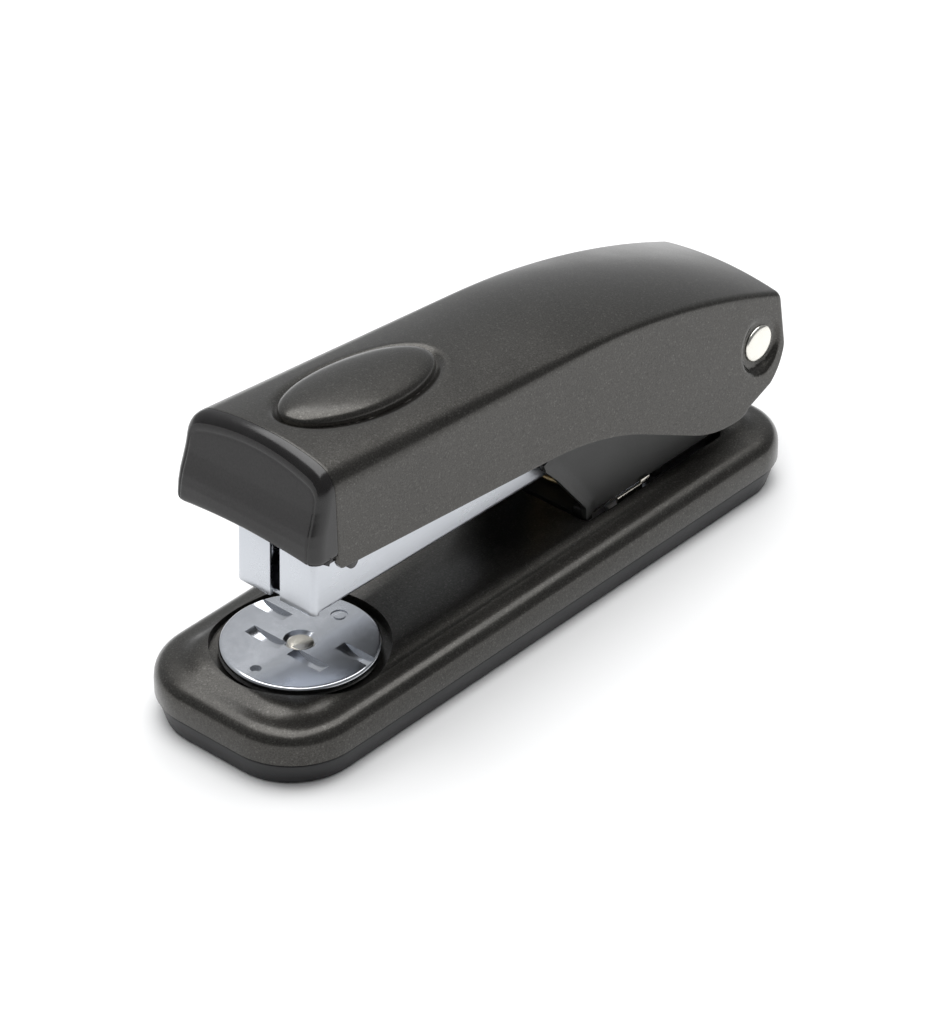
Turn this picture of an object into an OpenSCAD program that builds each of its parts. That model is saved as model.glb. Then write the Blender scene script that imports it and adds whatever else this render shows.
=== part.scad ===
// Half-strip desk stapler for 24/6 staples: base, hinge, magazine and cover.
// X runs along the stapler with the nose towards -X, Y across it, Z up.
// The origin is under the middle of the base, on the surface it stands on.

/* [Base] */
// Length of the base
base_len = 109; // [100:1:132]
// Width of the base
base_w = 33; // [31:1:40]
// Height of the crown of the base shell
base_h = 10.3; // [9.8:0.1:13]
// Plan radius of the two front corners
front_corner_r = 10.7; // [9:0.1:14]
// Plan radius of the two rear corners
rear_corner_r = 9; // [8:0.1:14]
// Radius of the rolled edge along the shell
edge_r = 3.4; // [2.5:0.1:3.8]
// Rise of the shell's crown above the rolled edge
base_crown = 0.9; // [0.4:0.1:1.4]
// Thickness of the pressed steel shell
shell_t = 0.9; // [0.7:0.05:1.2]
// Height of the sole strip that shows below the shell
sole_h = 3.8; // [3.4:0.1:4.6]
// How far the sole's outline draws in at the bottom
sole_draft = 1.2; // [0.5:0.1:2]
// Thickness of the sole's floor
sole_floor_t = 1.6; // [1.2:0.1:2.2]
// Gap between the shell's lower edge and the sole
seam_gap = 0.3; // [0.1:0.05:0.6]

/* [Anvil] */
// Radius of the anvil plate
anvil_r = 11.3; // [10.5:0.1:13]
// Thickness of the anvil plate
anvil_t = 1.6; // [1.2:0.1:2]
// Gap round the anvil in its well
anvil_gap = 1.4; // [0.8:0.1:2]
// Height of the anvil's face above the shell's crown
anvil_proud = 0.1; // [0:0.05:0.5]
// Distance from the anvil's centre to each pair of crimp grooves
groove_offset = 2.7; // [2:0.1:4]
// Length of one crimp groove
groove_len = 6.2; // [4:0.1:7]
// Width of one crimp groove
groove_w = 2; // [1.2:0.1:2.4]
// Depth of one crimp groove
groove_depth = 0.6; // [0.3:0.05:0.8]
// Radius of the rivet that the anvil turns on
anvil_rivet_r = 1.2; // [1:0.05:1.6]
// Radius of the button under the sole
button_r = 6; // [5:0.1:7]

/* [Hinge] */
// Distance of the hinge pin ahead of the base's rear end
pin_back = 5.5; // [5:0.1:9]
// Height of the hinge pin above the base's crown
pin_rise = 12.8; // [12:0.1:16]
// Radius of the hinge pin
pin_r = 2; // [1.5:0.05:2.4]
// Radius of the pin's flat head
pin_head_r = 2.9; // [2.6:0.1:3.6]
// Thickness of the pin's flat head
pin_head_t = 0.5; // [0.4:0.1:0.8]
// Thickness of the hinge bracket's sheet
bracket_t = 0.8; // [0.7:0.05:1]
// Depth of the recess that the hinge stands in
recess_depth = 2.3; // [1.8:0.1:2.6]
// Length of the recess
recess_len = 31; // [28:0.5:34]
// Half width of the recess
recess_half_w = 10.9; // [10.6:0.1:11.4]
// Thickness of the black hinge housing's walls
housing_t = 0.9; // [0.7:0.05:1]
// Radius of the return spring's coil
return_r = 5.8; // [4.5:0.1:6]
// Wire radius of the return spring
return_wire_r = 0.45; // [0.3:0.05:0.5]

/* [Magazine] */
// Outer width of the magazine channel
mag_w = 14.6; // [14.6:0.1:14.8]
// Thickness of the magazine's sheet
mag_t = 0.7; // [0.6:0.05:0.75]
// Height of the magazine channel
mag_h = 10; // [9.5:0.1:11]
// Distance from the hinge pin to the magazine's front face
mag_reach = 89.7; // [85:0.1:95]
// Height of the pin above the magazine's underside
pin_over_floor = 5.3; // [4.8:0.1:5.6]
// Upward tilt of the magazine at rest, in degrees
mag_tilt = 1.4; // [1:0.1:3]
// Width of the open slot between the two front flanges
front_slot_w = 1.8; // [1.2:0.1:3]
// Outer width of a staple's crown
staple_w = 12.9; // [12.6:0.05:13]
// Height of a staple
staple_h = 6.3; // [5:0.1:6.6]
// Thickness of the staple wire across its crown
staple_wire_t = 0.7; // [0.5:0.05:0.8]
// Length of the glued staple strip
strip_len = 25.5; // [15:0.5:27]
// Length of the pusher
pusher_len = 9; // [7:0.5:10]
// How far the pusher can be drawn back
pusher_travel = 26; // [20:0.5:27]
// Radius of the pusher's guide rod
rod_r = 1; // [0.8:0.05:1.1]

/* [Cover] */
// Half width of the cover's top at the nose
cover_nose_half = 12.8; // [11:0.1:14]
// Half width of the cover's top at the rear
cover_rear_half = 11.1; // [10.3:0.1:13]
// Outward lean of the side walls at the nose, per unit of depth
nose_lean = 0.03; // [0:0.01:0.18]
// Outward lean of the side walls at the rear, per unit of depth
rear_lean = 0.14; // [0.1:0.01:0.18]
// Thickness of the cover's sheet
cover_t = 0.8; // [0.6:0.05:0.9]
// Height of the cover's shoulder over the pin's axis, at the nose
shoulder_rise = 23.2; // [22:0.1:27]
// Downward slope of the straight part of the shoulder, in degrees
shoulder_slope = 5.9; // [4:0.1:7]
// Radius of the shoulder's rear bend in side view
shoulder_bend_r = 156; // [140:1:200]
// Rise of the crowned top above its shoulders
cover_crown = 2; // [1:0.1:2.6]
// Depth of the nose cap ahead of the cover
cap_depth = 4.6; // [4:0.1:6]
// Wall thickness of the nose cap
cap_t = 1.2; // [1:0.1:1.5]
// Forward lean of the nose cap's face, in degrees
cap_lean = 13; // [8:1:16]
// Length of the oval thumb pad
pad_len = 28.5; // [22:0.5:30]
// Width of the oval thumb pad
pad_w = 12.8; // [11:0.1:13.5]
// Height of the thumb pad above the cover
pad_rise = 1.2; // [0.8:0.1:1.6]

/* [Fits] */
// Radial clearance of parts that turn on a pin
run_clear = 0.05; // [0.02:0.01:0.1]
// Side clearance between parts on the hinge pin
side_clear = 0.05; // [0.03:0.01:0.15]
// Clearance between sliding parts
slide_clear = 0.15; // [0.1:0.01:0.2]
// Clearance of parts let into another part
inset_clear = 0.15; // [0.05:0.05:0.3]

/* [Hidden] */
$fn = 48;
cut = 1;                 // how far a cutting shape runs past a face
hull_fn = 32;            // facets of shapes that are hulled

// Base, measured from the front and rear ends
base_front = -base_len / 2;
base_rear = base_len / 2;
shell_z = sole_h + seam_gap;
rim_top = base_h - base_crown;
crown_inset = 12;        // plan distance from the edge to the crown's flat
pin_x = base_rear - pin_back;
pin_z = base_h + pin_rise;

// Magazine, in a frame at the pin that tilts with it
mag_half = mag_w / 2;
mag_in_half = mag_half - mag_t;
mag_floor = -pin_over_floor;
mag_top = mag_floor + mag_h;
mag_front = -mag_reach;
flange_in = mag_front + mag_t;
blade_t = 0.5;
blade_lean = 2.5;        // the blade leans back at rest, and forward when pressed
blade_front = flange_in + 0.5;
blade_slot = 1.15;       // depth of the blade's slot behind the flanges
strip_front = flange_in + blade_slot;
strip_rear = strip_front + strip_len;
leg_lift = 0.2;          // staple legs stand clear of the floor
crown_top = mag_floor + mag_t + leg_lift + staple_h;
core_top = crown_top - staple_wire_t;
core_half = staple_w / 2 - staple_wire_t - slide_clear;
core_t = 0.7;
core_rear = -14;
pusher_front = strip_rear + side_clear;
rod_z = (mag_floor + mag_t + core_top - core_t) / 2;
anchor_front = pusher_front + pusher_len + pusher_travel + 2.3;
anchor_len = 4;
tongue_len = 4;          // part of the pusher inside the core
tongue_half = 1.2;
blade_tip = crown_top + 0.8;
blade_half = staple_w / 2 - slide_clear;
tail_gap = 1.5;          // the magazine's floor ends this far ahead of the pin
mag_ear_r = 4.2;         // rounded ears of the magazine at the pin

// Hinge, from the magazine outwards
spacer_in = mag_half + side_clear;
ear_in = mag_half + 0.7;
ear_out = ear_in + bracket_t;
spacer_out = ear_in - side_clear;
housing_in = ear_out + 0.1;
housing_out = housing_in + housing_t;
recess_front = base_rear - 42.6;
recess_rear = recess_front + recess_len;
recess_floor = base_h - recess_depth;
foot_top = recess_floor + 1;
housing_floor_top = foot_top + housing_t;
housing_low = foot_top + 1.4;
ear_r = 4.2;
spring_x = base_rear - 32.5;
rivet_x = base_rear - 18.5;
rivet_y = 5;
rivet_r = 1.2;
bead_proud = 0.7;        // the housing's front bead stands out from its side
bead_w = 1.3;
web_t = 1.5;
web_front = recess_front + 1.2;
web_rear = recess_front + 16.7;

// Anvil, centred where the staples come down with the magazine closed
anvil_x = pin_x - mag_reach + 4.7;
anvil_top = base_h + anvil_proud;
anvil_low = anvil_top - anvil_t;
well_r = anvil_r + anvil_gap;
well_floor = anvil_low - 0.4;
sleeve_r = 2.9;
button_low = 1.4;
button_top = 4.4;
rivet_head_r = 1.85;

// Cover, in the base's frame at rest
cover_front = pin_x - 91;
cover_rear = base_rear + 0.7;
shoulder_z0 = pin_z + shoulder_rise;
bend_x = pin_x - 41;
bend_z = shoulder_z0 - (bend_x - cover_front) * tan(shoulder_slope);
pin_pad_in = ear_out + 2.05;
pin_pad_out = pin_pad_in + cover_t;
cap_front = cover_front - cap_depth;
cap_arch = 0.9;          // rise of the cap's lower edge in the middle
nub_r = 1.1;
pad_x = cover_front + 18.2;
pad_low = 2.4;           // depth of the pad's underside below the crown
lower_nose_z = pin_z + 8.3;
driver_x = pin_x - mag_reach + 9.2;

// ---------- shared shapes ----------

// Points of an arc, from angle a0 to a1
function arc_points(c, r, a0, a1, n) =
    [for (i = [0:n]) let (a = a0 + (a1 - a0) * i / n) [c.x + r * cos(a), c.y + r * sin(a)]];

// A solid corner post of the base with a rolled top edge
module corner_post(r, z0, z1, roll) {
    rotate_extrude($fn = hull_fn)
        polygon(concat([[0, z0], [r, z0]], arc_points([r - roll, z1 - roll], roll, 0, 90, 6), [[0, z1]]));
}

// A solid rounded block with the base's plan, drawn in by inset
module base_block(inset, z0, z1, roll, crown_z) {
    fr = front_corner_r - inset;
    rr = rear_corner_r - inset;
    hw = base_w / 2 - inset;
    hull() {
        for (s = [-1, 1]) {
            translate([base_front + inset + fr, s * (hw - fr), 0]) corner_post(fr, z0, z1, roll);
            translate([base_rear - inset - rr, s * (hw - rr), 0]) corner_post(rr, z0, z1, roll);
        }
        for (x = [base_front + crown_inset, base_rear - crown_inset], s = [-1, 1])
            translate([x, s * (base_w / 2 - crown_inset), z0])
                cylinder(r = 3, h = crown_z - z0, $fn = hull_fn);
    }
}

// A plain slab with the base's plan
module base_slab(inset, z0, h) {
    fr = front_corner_r - inset;
    rr = rear_corner_r - inset;
    hw = base_w / 2 - inset;
    translate([0, 0, z0]) hull() {
        for (s = [-1, 1]) {
            translate([base_front + inset + fr, s * (hw - fr), 0]) cylinder(r = fr, h = h, $fn = hull_fn);
            translate([base_rear - inset - rr, s * (hw - rr), 0]) cylinder(r = rr, h = h, $fn = hull_fn);
        }
    }
}

// A round wire swept along a path of points
module wire(path, r, sides = 8) {
    n = len(path);
    pts = [for (i = [0:n - 1])
        let (
            d = path[min(i + 1, n - 1)] - path[max(i - 1, 0)],
            t = d / norm(d),
            side = abs(t.z) < 0.9 ? [0, 0, 1] : [1, 0, 0],
            u = cross(side, t) / norm(cross(side, t)),
            v = cross(t, u)
        )
        for (j = [0:sides - 1]) path[i] + r * (cos(360 * j / sides) * u + sin(360 * j / sides) * v)];
    walls = [for (i = [0:n - 2], j = [0:sides - 1])
        let (a = i * sides + j, b = i * sides + (j + 1) % sides) [a, a + sides, b + sides, b]];
    caps = [[for (j = [0:sides - 1]) j], [for (j = [0:sides - 1]) n * sides - 1 - j]];
    polyhedron(points = pts, faces = concat(walls, caps));
}

// Height of a coil after t of its turns, with closed turns at both ends
function coil_rise(t, turns, h, wire_d) =
    let (free = h - 2 * wire_d, k = (t - 1) / (turns - 2))
    t < 1 ? t * wire_d : t > turns - 1 ? h - (turns - t) * wire_d : wire_d + k * free;

// A coil spring that stands along +Z between z = 0 and z = length
module coil(r, wire_r, length, turns, steps = 12) {
    h = length - 2 * wire_r;
    wire([for (i = [0:turns * steps])
        let (t = i / steps)
        [r * cos(360 * t), r * sin(360 * t), wire_r + coil_rise(t, turns, h, 2 * wire_r)]], wire_r);
}

// Puts its children in the magazine's frame at the hinge pin
module mag_frame() {
    translate([pin_x, 0, pin_z]) rotate([0, mag_tilt, 0]) children();
}

// A round bar across the stapler on the hinge axis, between two Y values
module cross_bar(r, y0, y1) {
    translate([pin_x, y0, pin_z]) rotate([-90, 0, 0]) cylinder(r = r, h = y1 - y0);
}

// A plate with its children's outline in side view, on one side s, between two distances from the middle
module both_sides(s, y0, y1) {
    translate([0, s > 0 ? y1 : -y0, 0]) rotate([90, 0, 0]) linear_extrude(y1 - y0) children();
}

// A closed outline in side view
module side_outline(points) {
    polygon(points);
}

// ---------- base ----------

module base_sole() {
    color([0.05, 0.05, 0.055]) difference() {
        union() {
            hull() {
                base_slab(sole_draft, 0, 0.1);
                base_slab(seam_gap, sole_h - 0.1, 0.1);
            }
            difference() {
                base_slab(shell_t + 0.3, sole_h - 0.1, 2);
                base_slab(shell_t + 1.7, sole_h - 0.2, 2 + cut);
            }
        }
        difference() {
            base_slab(shell_t + 2.5, sole_floor_t, sole_h);
            translate([anvil_x, 0, 0]) cylinder(r = button_r + 2.2, h = sole_h);
        }
        translate([anvil_x, 0, -cut]) cylinder(r = button_r + slide_clear, h = sole_h + 2 * cut);
    }
}

module base_shell() {
    color([0.2, 0.19, 0.185]) difference() {
        union() {
            difference() {
                base_block(0, shell_z, rim_top, edge_r, base_h);
                base_block(shell_t, shell_z - cut, rim_top - shell_t, edge_r - shell_t, base_h - shell_t);
            }
            intersection() {
                base_block(0, shell_z, rim_top, edge_r, base_h);
                union() {
                    translate([anvil_x, 0, well_floor - shell_t])
                        cylinder(r = well_r + shell_t, h = base_h);
                    translate([recess_front - shell_t, -recess_half_w - shell_t, recess_floor - shell_t])
                        cube([recess_len + 2 * shell_t, 2 * (recess_half_w + shell_t), base_h]);
                }
            }
        }
        translate([anvil_x, 0, well_floor]) cylinder(r = well_r, h = base_h);
        translate([anvil_x, 0, 0]) cylinder(r = sleeve_r + slide_clear, h = base_h);
        translate([recess_front, -recess_half_w, recess_floor])
            cube([recess_len, 2 * recess_half_w, base_h]);
        rivet_holes();
    }
}

// ---------- anvil ----------

// One crimp groove with a curved floor, running across the stapler
module crimp_groove(x, y) {
    r = (groove_len * groove_len / 4 + groove_depth * groove_depth) / (2 * groove_depth);
    translate([x - groove_w / 2, y, anvil_top + r - groove_depth])
        rotate([0, 90, 0]) cylinder(r = r, h = groove_w, $fn = 96);
}

module anvil() {
    edge = 0.6;
    color([0.8, 0.8, 0.82]) difference() {
        translate([anvil_x, 0, 0]) rotate_extrude($fn = 96)
            polygon(concat(
                [[0, anvil_low], [anvil_r - 0.2, anvil_low], [anvil_r, anvil_low + 0.2]],
                arc_points([anvil_r - edge, anvil_top - edge], edge, 0, 90, 6),
                [[0, anvil_top]]));
        translate([anvil_x, 0, 0]) cylinder(r = anvil_rivet_r, h = base_h + cut);
        translate([anvil_x, 0, anvil_top - 0.7])
            cylinder(r1 = anvil_rivet_r, r2 = rivet_head_r + 0.6, h = 0.71);
        for (s = [-1, 1]) {
            crimp_groove(anvil_x - groove_offset, s * (groove_len / 2 + 0.9));
            crimp_groove(anvil_x + groove_offset, s * (groove_len / 2 + 4.9));
        }
        translate([anvil_x - 8.9, 0, anvil_top - 0.5]) cylinder(r = 0.8, h = 1);
        translate([anvil_x + 7.9, 0, anvil_top - 0.2]) difference() {
            cylinder(r = 1.3, h = 1);
            translate([0, 0, -cut]) cylinder(r = 0.8, h = 3);
        }
    }
}

module anvil_rivet() {
    color([0.72, 0.68, 0.6]) translate([anvil_x, 0, 0]) {
        translate([0, 0, button_low + 0.6]) cylinder(r = anvil_rivet_r, h = anvil_top - button_low - 0.7);
        translate([0, 0, anvil_top - 0.7]) cylinder(r1 = anvil_rivet_r, r2 = rivet_head_r, h = 0.6);
        translate([0, 0, button_low + 0.4]) cylinder(r = 2, h = 0.5);
    }
}

module anvil_button() {
    color([0.06, 0.06, 0.06]) translate([anvil_x, 0, 0]) difference() {
        union() {
            translate([0, 0, button_low]) cylinder(r = button_r, h = button_top - button_low);
            translate([0, 0, button_low]) cylinder(r = sleeve_r, h = anvil_low - side_clear - button_low);
        }
        cylinder(r = anvil_rivet_r + run_clear, h = base_h);
        cylinder(r = 2.3, h = button_low + 0.95);
    }
}

module anvil_spring() {
    color([0.7, 0.7, 0.7]) translate([anvil_x, 0, button_top + 0.02])
        coil(r = 4.4, wire_r = 0.25, length = well_floor - shell_t - button_top - 0.04, turns = 3);
}

// ---------- hinge ----------

module rivet_holes() {
    for (s = [-1, 1]) translate([rivet_x, s * rivet_y, 0]) cylinder(r = rivet_r, h = base_h + cut);
}

module hinge_bracket() {
    foot_x = recess_front + 2.4;
    foot_end = recess_rear - 1;
    outline = concat(
        [[foot_x + 16, recess_floor], [foot_end, recess_floor]],
        arc_points([pin_x, pin_z], ear_r, -30, 120, 12),
        [[foot_x + 16, recess_floor + 7]]);
    color([0.75, 0.76, 0.78]) difference() {
        union() {
            translate([foot_x, -ear_out, recess_floor]) cube([foot_end - foot_x, 2 * ear_out, 1]);
            for (s = [-1, 1]) both_sides(s, ear_in, ear_out) side_outline(outline);
            for (s = [-1, 1]) translate([foot_x + 4, s > 0 ? ear_out - 0.1 : -ear_out - 0.9, recess_floor])
                cube([9, 1, 0.8]);
        }
        cross_bar(pin_r, -base_w, base_w);
        rivet_holes();
    }
}

module bracket_rivets() {
    color([0.7, 0.7, 0.7]) for (s = [-1, 1]) translate([rivet_x, s * rivet_y, 0]) {
        translate([0, 0, recess_floor - shell_t - 0.7]) cylinder(r = 2, h = 0.7);
        translate([0, 0, recess_floor - shell_t])
            cylinder(r = rivet_r, h = housing_floor_top + 0.1 - recess_floor + shell_t);
        translate([0, 0, housing_floor_top]) cylinder(r = 2.1, h = 0.7);
    }
}

module hinge_housing() {
    x0 = recess_front;
    rim = [
        [x0 + 0.4, housing_low], [x0 + 0.3, foot_top + 3.4], [x0 - 2.2, foot_top + 6.5],
        [x0 - 6, foot_top + 11.3], [x0 - 8.8, foot_top + 13.9]
    ];
    back = [
        [x0 + 3, foot_top + 15.5], [x0 + 22, foot_top + 13.5], [x0 + 28.5, foot_top + 8],
        [x0 + 28.5, housing_low]
    ];
    bead = concat(rim, [for (i = [len(rim) - 1:-1:0]) rim[i] + [bead_w, 0]]);
    color([0.08, 0.08, 0.085]) difference() {
        union() {
            for (s = [-1, 1]) {
                both_sides(s, housing_in, housing_out) side_outline(concat(rim, back));
                both_sides(s, housing_out - 0.1, housing_out + bead_proud) side_outline(bead);
            }
            translate([web_front, -ear_in + 0.1, foot_top]) cube([27.3, 2 * ear_in - 0.2, housing_t]);
            for (x = [web_front, web_rear]) translate([x, -housing_out + 0.1, foot_top])
                cube([web_t, 2 * housing_out - 0.2, housing_low - foot_top + 0.6]);
            translate([spring_x, 0, foot_top])
                cylinder(r = return_r - return_wire_r - 0.25, h = housing_t + 1);
        }
        rivet_holes();
        for (s = [-1, 1]) both_sides(s, ear_in - 0.1, ear_out + 0.1)
            translate([web_rear - 0.1, 0]) square([web_t + 0.5, foot_top + 15]);
    }
}

module pivot_pin() {
    color([0.78, 0.75, 0.7]) {
        cross_bar(pin_r, -pin_pad_out - side_clear, pin_pad_out + side_clear + 0.4);
        cross_bar(pin_head_r, -pin_pad_out - side_clear - pin_head_t, -pin_pad_out - side_clear);
    }
}

module pin_cap() {
    y0 = pin_pad_out + side_clear;
    color([0.78, 0.75, 0.7]) difference() {
        cross_bar(pin_head_r, y0, y0 + pin_head_t);
        cross_bar(pin_r, y0 - cut, y0 + 0.4);
    }
}

module hinge_spacers() {
    color([0.7, 0.7, 0.72]) for (s = [-1, 1]) difference() {
        cross_bar(3.4, s > 0 ? spacer_in : -spacer_out, s > 0 ? spacer_out : -spacer_in);
        cross_bar(pin_r, -base_w, base_w);
    }
}

module return_spring() {
    under = pin_z + (pin_x - spring_x) * sin(mag_tilt) - pin_over_floor / cos(mag_tilt);
    low = housing_floor_top + 0.02;
    color([0.75, 0.6, 0.3]) translate([spring_x, 0, low])
        coil(r = return_r, wire_r = return_wire_r, length = under - low - 0.2, turns = 5);
}

// ---------- magazine ----------

module magazine() {
    len_all = mag_reach - tail_gap;
    color([0.85, 0.86, 0.87]) mag_frame() difference() {
        union() {
            translate([mag_front, -mag_half, mag_floor]) cube([len_all, mag_w, mag_h]);
            translate([0, mag_half, 0]) rotate([90, 0, 0]) cylinder(r = mag_ear_r, h = mag_w);
        }
        translate([flange_in, -mag_in_half, mag_floor + mag_t])
            cube([mag_reach + tail_gap + mag_h, 2 * mag_in_half, mag_h]);
        translate([mag_front - cut, -front_slot_w / 2, mag_floor - cut])
            cube([mag_t + cut + 0.01, front_slot_w, mag_h + 2 * cut]);
        translate([flange_in, -mag_in_half, mag_floor - cut])
            cube([blade_slot, 2 * mag_in_half, mag_t + 2 * cut]);
        translate([0, mag_half + cut, 0]) rotate([90, 0, 0])
            cylinder(r = pin_r + run_clear, h = mag_w + 2 * cut);
        translate([-9, -mag_half - cut, mag_top - 3.5]) cube([20, mag_w + 2 * cut, 5]);
        core_rivet_holes();
    }
}

module core_rivet_holes() {
    for (x = [core_rear - 3, anchor_front - 4])
        translate([x, 0, mag_floor - cut]) cylinder(r = 1, h = mag_t + 1 + cut);
}

module magazine_core() {
    z0 = mag_floor + mag_t;
    color([0.8, 0.81, 0.83]) mag_frame() difference() {
        translate([strip_front, -core_half, z0]) cube([core_rear - strip_front, 2 * core_half, core_top - z0]);
        translate([strip_front - cut, -core_half + core_t, z0 - cut])
            cube([core_rear - strip_front - 6 + cut, 2 * (core_half - core_t), core_top - core_t - z0 + cut]);
        translate([pusher_front - 0.3, -tongue_half - slide_clear, z0])
            cube([pusher_len + pusher_travel + 0.6, 2 * (tongue_half + slide_clear), mag_h]);
        translate([core_rear - 3, 0, z0 - cut]) cylinder(r = 1, h = 2.5);
    }
}

module core_rivets() {
    z0 = mag_floor + mag_t;
    color([0.7, 0.7, 0.72]) mag_frame() {
        translate([core_rear - 3, 0, mag_floor]) cylinder(r = 1, h = mag_t + 1.4);
        translate([anchor_front - 4, 0, mag_floor]) cylinder(r = 1, h = mag_t);
        translate([anchor_front - 4, 0, z0]) cylinder(r = 1.8, h = 0.5);
    }
}

module staple_strip() {
    z0 = crown_top - staple_h;
    inner = staple_w / 2 - staple_wire_t;
    color([0.8, 0.8, 0.8]) mag_frame() difference() {
        translate([strip_front, -staple_w / 2, z0]) cube([strip_len, staple_w, staple_h]);
        translate([strip_front - cut, -inner, z0 - cut])
            cube([strip_len + 2 * cut, 2 * inner, staple_h - staple_wire_t + cut]);
    }
}

module pusher() {
    z0 = crown_top - staple_h;
    gap = core_half + slide_clear;
    color([0.3, 0.31, 0.33]) mag_frame() difference() {
        union() {
            difference() {
                translate([pusher_front, -staple_w / 2, z0]) cube([pusher_len, staple_w, staple_h + 0.3]);
                translate([pusher_front - cut, -gap, z0 - cut])
                    cube([pusher_len + 2 * cut, 2 * gap, core_top + slide_clear - z0 + cut]);
            }
            translate([pusher_front + 1, -tongue_half, rod_z - 2])
                cube([tongue_len, 2 * tongue_half, crown_top - rod_z + 2]);
        }
        translate([pusher_front - cut, 0, rod_z]) rotate([0, 90, 0])
            cylinder(r = rod_r + run_clear, h = pusher_len + 2 * cut);
    }
}

module spring_rod() {
    x0 = pusher_front - 2;
    color([0.75, 0.76, 0.78]) mag_frame() translate([x0, 0, rod_z]) rotate([0, 90, 0])
        cylinder(r = rod_r, h = anchor_front + anchor_len - x0);
}

module rod_anchor() {
    z0 = mag_floor + mag_t;
    color([0.6, 0.61, 0.63]) mag_frame() difference() {
        translate([anchor_front, -core_half + core_t, z0])
            cube([anchor_len, 2 * (core_half - core_t), core_top - core_t - z0]);
        translate([anchor_front - cut, 0, rod_z]) rotate([0, 90, 0])
            cylinder(r = rod_r, h = anchor_len + 2 * cut);
    }
}

module pusher_spring() {
    x0 = pusher_front + 1 + tongue_len + 0.1;
    color([0.7, 0.7, 0.7]) mag_frame() translate([x0, 0, rod_z]) rotate([0, 90, 0])
        coil(r = rod_r + 0.65, wire_r = 0.2, length = anchor_front - x0 - 0.1, turns = 14, steps = 8);
}

module spring_bridge() {
    x0 = anchor_front + anchor_len;
    color([0.7, 0.71, 0.73]) mag_frame() difference() {
        translate([x0, -mag_half, mag_top]) cube([9, mag_w, 0.8]);
        translate([x0 + 4.5, 0, mag_top - cut]) cylinder(r = 1.2, h = 3);
    }
}

module lift_spring() {
    x = anchor_front + anchor_len + 4.5;
    roof = pin_z + shoulder_height(pin_x + x + 4) - pin_z + cover_crown * 0.6 - cover_t;
    seat = pin_z - x * sin(mag_tilt) + (mag_top + 0.8) * cos(mag_tilt);
    color([0.7, 0.7, 0.7]) mag_frame() translate([x, 0, mag_top + 0.82])
        coil(r = 3, wire_r = 0.35, length = roof - seat - 0.4, turns = 5, steps = 12);
}

// ---------- cover ----------

// Height of the shoulder: a straight slope, then one arc down to the rear
function shoulder_height(x) =
    x < bend_x ? shoulder_z0 - (x - cover_front) * tan(shoulder_slope)
    : let (
        cx = bend_x - shoulder_bend_r * sin(shoulder_slope),
        cz = bend_z - shoulder_bend_r * cos(shoulder_slope)
    )
      cz + sqrt(shoulder_bend_r * shoulder_bend_r - (x - cx) * (x - cx));

// Half width of the top at the shoulder
function top_half(x) =
    cover_nose_half + (cover_rear_half - cover_nose_half) * (x - cover_front) / (cover_rear - cover_front);

// Outward lean of the side walls
function wall_lean(x) = nose_lean + (rear_lean - nose_lean) * (x - cover_front) / (cover_rear - cover_front);

// Radius of the shoulder: soft at the nose and crisp at the rear
function shoulder_soft(x) = max(0.9, 3.2 - 2.3 * (x - cover_front) / 60);

// Outline across the cover at x, inset by t, from the right wall's foot over to the left one's
function across(x, t, foot) =
    let (
        h = top_half(x) - t,
        z = shoulder_height(x) - t,
        r = shoulder_soft(x),
        lean = wall_lean(x),
        a = [h + lean * r, z - r],
        c = [h, z],
        b = [h - r, z + cover_crown * (1 - pow((h - r) / h, 2))],
        bend = [for (k = [0:4]) let (s = k / 4) (1 - s) * (1 - s) * a + 2 * s * (1 - s) * c + s * s * b],
        crown = [for (k = [1:3]) let (y = (h - r) * (1 - k / 4)) [y, z + cover_crown * (1 - pow(y / h, 2))]],
        half = concat([[h + lean * (z - foot), foot]], bend, crown),
        n = len(half)
    )
    concat(half, [[0, z + cover_crown]], [for (i = [n - 1:-1:0]) [-half[i].x, half[i].y]]);

// Section of the bent sheet at x: over along the outside, then back along the inside
function sheet_row(x, foot) =
    let (out = across(x, 0, foot), in = across(x, cover_t, foot), n = len(in))
    [for (p = concat(out, [for (i = [n - 1:-1:0]) in[i]])) [x, p.x, p.y]];

// A bent sheet through a row of sections
module sheet(rows) {
    n = len(rows[0]);
    m = len(rows);
    last = (m - 1) * n;
    walls = [for (i = [0:m - 2], j = [0:n - 1])
        let (a = i * n + j, b = i * n + (j + 1) % n) [a, a + n, b + n, b]];
    front = [for (j = [0:n / 2 - 2]) [j, j + 1, n - 2 - j, n - 1 - j]];
    rear = [for (f = front) [for (k = [3:-1:0]) last + f[k]]];
    polyhedron(points = [for (r = rows) for (p = r) p], faces = concat(walls, front, rear));
}

// Lower edge of the cover from nose to rear, arched over the hinge and rounded up at the rear
function lower_edge() =
    let (dx = pin_x - 49, dz = pin_z - 23.1)
    concat(
        [[cover_front, lower_nose_z + 0.5], [cover_front + 0.8, lower_nose_z]],
        [[cover_front + 14, lower_nose_z - 1.35], [cover_front + 29, lower_nose_z - 2.8]],
        arc_points([-3.1 + dx, -27.5 + dz], 55, 84.7, 63, 6),
        arc_points([42.5 + dx, 37.1 + dz], 23.2, 243, 270, 5),
        arc_points([42.5 + dx, 17.9 + dz], 4, -76, -52, 2),
        arc_points([cover_rear - 9, 24.1 + dz], 9, -62, 0, 8)
    );

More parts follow.
